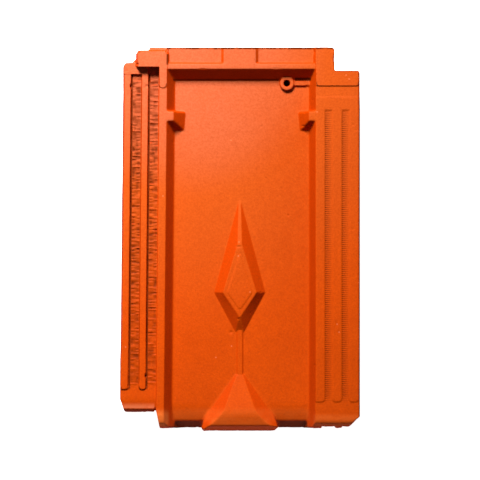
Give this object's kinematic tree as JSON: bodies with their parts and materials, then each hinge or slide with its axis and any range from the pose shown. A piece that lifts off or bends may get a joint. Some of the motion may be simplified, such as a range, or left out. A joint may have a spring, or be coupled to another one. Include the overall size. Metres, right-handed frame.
{
  "type": "interlocking clay roof tile",
  "caption": "Flat pressed clay roof tile with side and head laps, a sunk pan, a lozenge, a foot dart, a nail hole and hanging lugs.",
  "frame": {"origin": "middle of the tile's box, on the level floor under its lugs and foot lip", "axes": "+X right seen from above, +Y up the roof towards the head, +Z out of the weather face"},
  "size_m": [0.2616, 0.419, 0.041],
  "materials": {
    "fired_clay": "unglazed, fine-grained, semi-matte orange terracotta"
  },
  "bodies": {
    "root": {"roof_tile": "fired_clay"}
  },
  "joints": []
}
